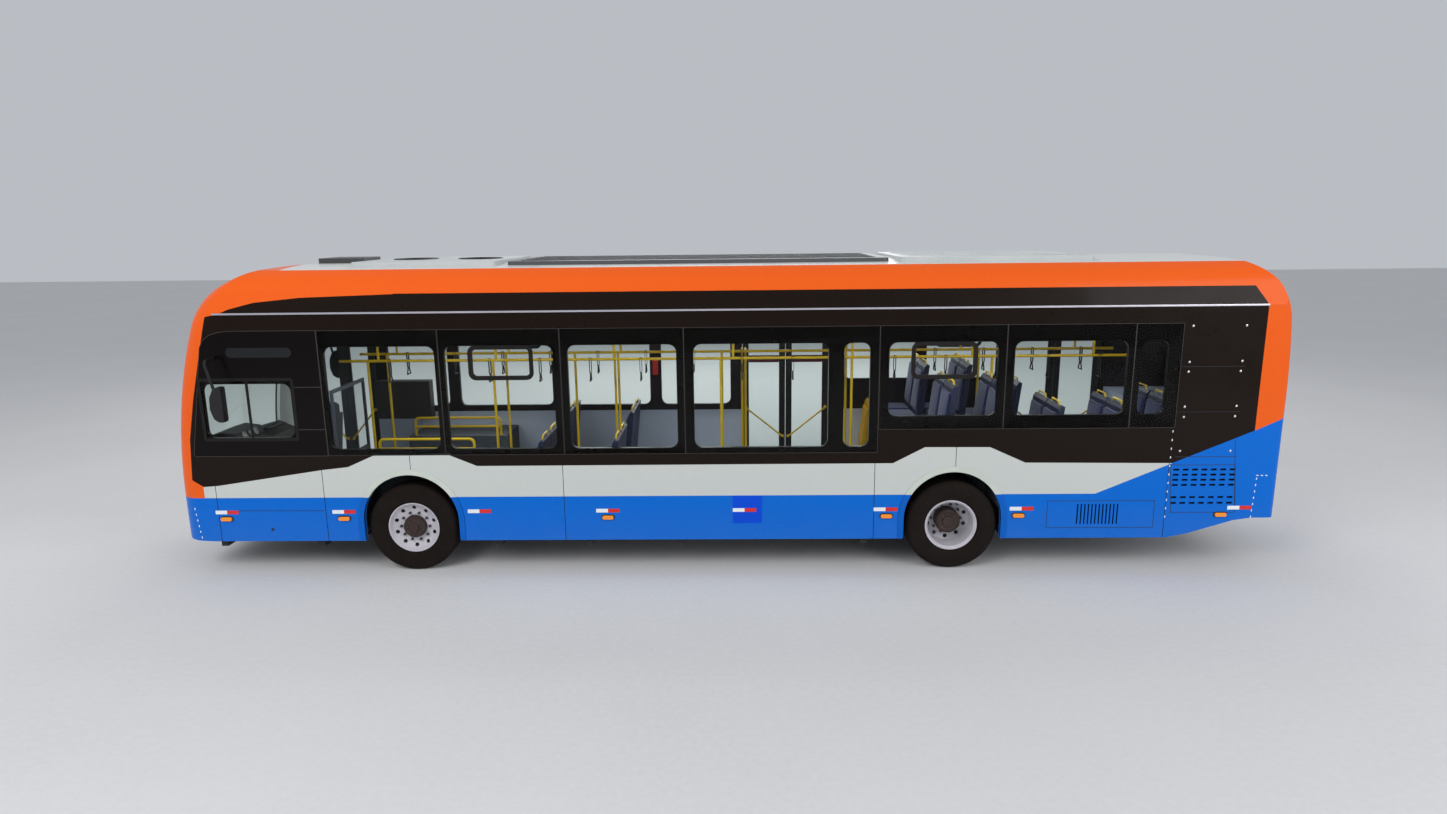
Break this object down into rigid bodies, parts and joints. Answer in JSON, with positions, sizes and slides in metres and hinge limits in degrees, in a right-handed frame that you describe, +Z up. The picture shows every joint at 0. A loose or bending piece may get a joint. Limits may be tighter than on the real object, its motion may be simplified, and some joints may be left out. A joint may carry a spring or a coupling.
{
  "type": "low-entry city bus",
  "caption": "Two-axle low-entry city bus with a hollow saloon, steered front wheels, twin rear wheels, three inward-swinging door pairs and a hinged rear lid.",
  "frame": {"origin": "on the ground under the middle of the bus", "axes": "+X forward, +Y to the driver's side, +Z up"},
  "size_m": [12.63, 3, 3.6],
  "materials": {
    "glass": "gloss",
    "tyre": "matte",
    "wheel_paint": "satin",
    "black_paint": "gloss",
    "side_paint": "gloss",
    "skirt_paint": "gloss",
    "orange_paint": "gloss",
    "roof_paint": "satin",
    "frame_steel": "matte",
    "spring_rubber": "matte",
    "floor_vinyl": "matte",
    "dark_plastic": "satin",
    "unit_paint": "matte",
    "panel_laminate": "satin",
    "seat_plastic": "satin",
    "driver_fabric": "matte",
    "rail_paint": "gloss",
    "lamp_clear": "gloss",
    "lamp_red": "gloss",
    "lamp_amber": "gloss"
  },
  "bodies": {
    "bus_body": {"air_springs": "spring_rubber", "chassis_frame": "frame_steel", "dashboard": "dark_plastic", "destination_sign": "dark_plastic", "driver_seat": "driver_fabric", "floor_deck": "floor_vinyl", "front_axle": "frame_steel", "front_bumper": "orange_paint", "front_end": "orange_paint", "handrails": "rail_paint", "headlamps": "lamp_clear", "left_glass": "glass", "left_skirts": "skirt_paint", "left_wall": "side_paint", "mirrors": "dark_plastic", "partition": "panel_laminate", "power_unit": "unit_paint", "rear_axle": "frame_steel", "rear_bulkhead": "panel_laminate", "rear_end": "orange_paint", "rear_glass": "glass", "right_glass": "glass", "right_skirts": "skirt_paint", "right_wall": "side_paint", "roof_shell": "orange_paint", "roof_units": "roof_paint", "seat_frames": "frame_steel", "seat_shells": "seat_plastic", "side_markers": "lamp_amber", "tail_lamps": "lamp_red", "windscreen": "glass", "wipers": "dark_plastic"},
    "front_left_wheel": {"front_left_tyre": "tyre", "front_left_rim": "wheel_paint"},
    "rear_left_wheel": {"rear_left_tyre": "tyre", "rear_left_rim": "wheel_paint"},
    "left_steering_knuckle": {"left_knuckle": "frame_steel"},
    "front_right_wheel": {"front_right_tyre": "tyre", "front_right_rim": "wheel_paint"},
    "rear_right_wheel": {"rear_right_tyre": "tyre", "rear_right_rim": "wheel_paint"},
    "right_steering_knuckle": {"right_knuckle": "frame_steel"},
    "front_door_fore": {"front_door_fore_leaf": "black_paint", "front_door_fore_glass": "glass"},
    "front_door_aft": {"front_door_aft_leaf": "black_paint", "front_door_aft_glass": "glass"},
    "middle_door_fore": {"middle_door_fore_leaf": "black_paint", "middle_door_fore_glass": "glass"},
    "middle_door_aft": {"middle_door_aft_leaf": "black_paint", "middle_door_aft_glass": "glass"},
    "rear_door_fore": {"rear_door_fore_leaf": "black_paint", "rear_door_fore_glass": "glass"},
    "rear_door_aft": {"rear_door_aft_leaf": "black_paint", "rear_door_aft_glass": "glass"},
    "steering_wheel_body": {"steering_wheel": "dark_plastic"},
    "rear_lid_body": {"rear_lid": "orange_paint"}
  },
  "joints": [
    {"name": "left_steer", "type": "hinge", "parent": "bus_body", "child": "left_steering_knuckle", "pos_m": [3.587, 0.93, 0.522], "axis": [0, 0, 1], "range_deg": [-45, 45]},
    {"name": "front_left_spin", "type": "hinge", "parent": "left_steering_knuckle", "child": "front_left_wheel", "pos_m": [3.587, 1.105, 0.522], "axis": [0, 1, 0], "continuous": true},
    {"name": "rear_left_spin", "type": "hinge", "parent": "bus_body", "child": "rear_left_wheel", "pos_m": [-2.655, 1.105, 0.522], "axis": [0, 1, 0], "continuous": true},
    {"name": "right_steer", "type": "hinge", "parent": "bus_body", "child": "right_steering_knuckle", "pos_m": [3.587, -0.93, 0.522], "axis": [0, 0, 1], "range_deg": [-45, 45]},
    {"name": "front_right_spin", "type": "hinge", "parent": "right_steering_knuckle", "child": "front_right_wheel", "pos_m": [3.587, -1.105, 0.522], "axis": [0, 1, 0], "continuous": true},
    {"name": "rear_right_spin", "type": "hinge", "parent": "bus_body", "child": "rear_right_wheel", "pos_m": [-2.655, -1.105, 0.522], "axis": [0, 1, 0], "continuous": true},
    {"name": "steering_wheel_turn", "type": "hinge", "parent": "bus_body", "child": "steering_wheel_body", "pos_m": [5.40003, 0.74, 1.4], "axis": [-0.454, 0, 0.891], "range_deg": [-810, 810]},
    {"name": "front_door_open", "type": "hinge", "parent": "bus_body", "child": "front_door_fore", "pos_m": [5.778, -1.225, 0.4], "axis": [0, 0, -1], "range_deg": [0, 90]},
    {"name": "front_door_aft_open", "type": "hinge", "parent": "bus_body", "child": "front_door_aft", "pos_m": [4.92197, -1.225, 0.4], "axis": [0, 0, 1], "range_deg": [0, 90]},
    {"name": "middle_door_open", "type": "hinge", "parent": "bus_body", "child": "middle_door_fore", "pos_m": [-0.272, -1.225, 0.4], "axis": [0, 0, -1], "range_deg": [0, 90]},
    {"name": "middle_door_aft_open", "type": "hinge", "parent": "bus_body", "child": "middle_door_aft", "pos_m": [-1.468, -1.225, 0.4], "axis": [0, 0, 1], "range_deg": [0, 90]},
    {"name": "rear_door_open", "type": "hinge", "parent": "bus_body", "child": "rear_door_fore", "pos_m": [-3.972, -1.225, 0.47], "axis": [0, 0, -1], "range_deg": [0, 90]},
    {"name": "rear_door_aft_open", "type": "hinge", "parent": "bus_body", "child": "rear_door_aft", "pos_m": [-5.228, -1.225, 0.47], "axis": [0, 0, 1], "range_deg": [0, 90]},
    {"name": "rear_lid_open", "type": "hinge", "parent": "bus_body", "child": "rear_lid_body", "pos_m": [-6.315, 0, 1.634], "axis": [0, 1, 0], "range_deg": [0, 85]}
  ],
  "couplings": [
    {"joint": "right_steer", "follows": "left_steer", "ratio": 1},
    {"joint": "steering_wheel_turn", "follows": "left_steer", "ratio": 18},
    {"joint": "front_door_aft_open", "follows": "front_door_open", "ratio": 1},
    {"joint": "middle_door_aft_open", "follows": "middle_door_open", "ratio": 1},
    {"joint": "rear_door_aft_open", "follows": "rear_door_open", "ratio": 1}
  ]
}
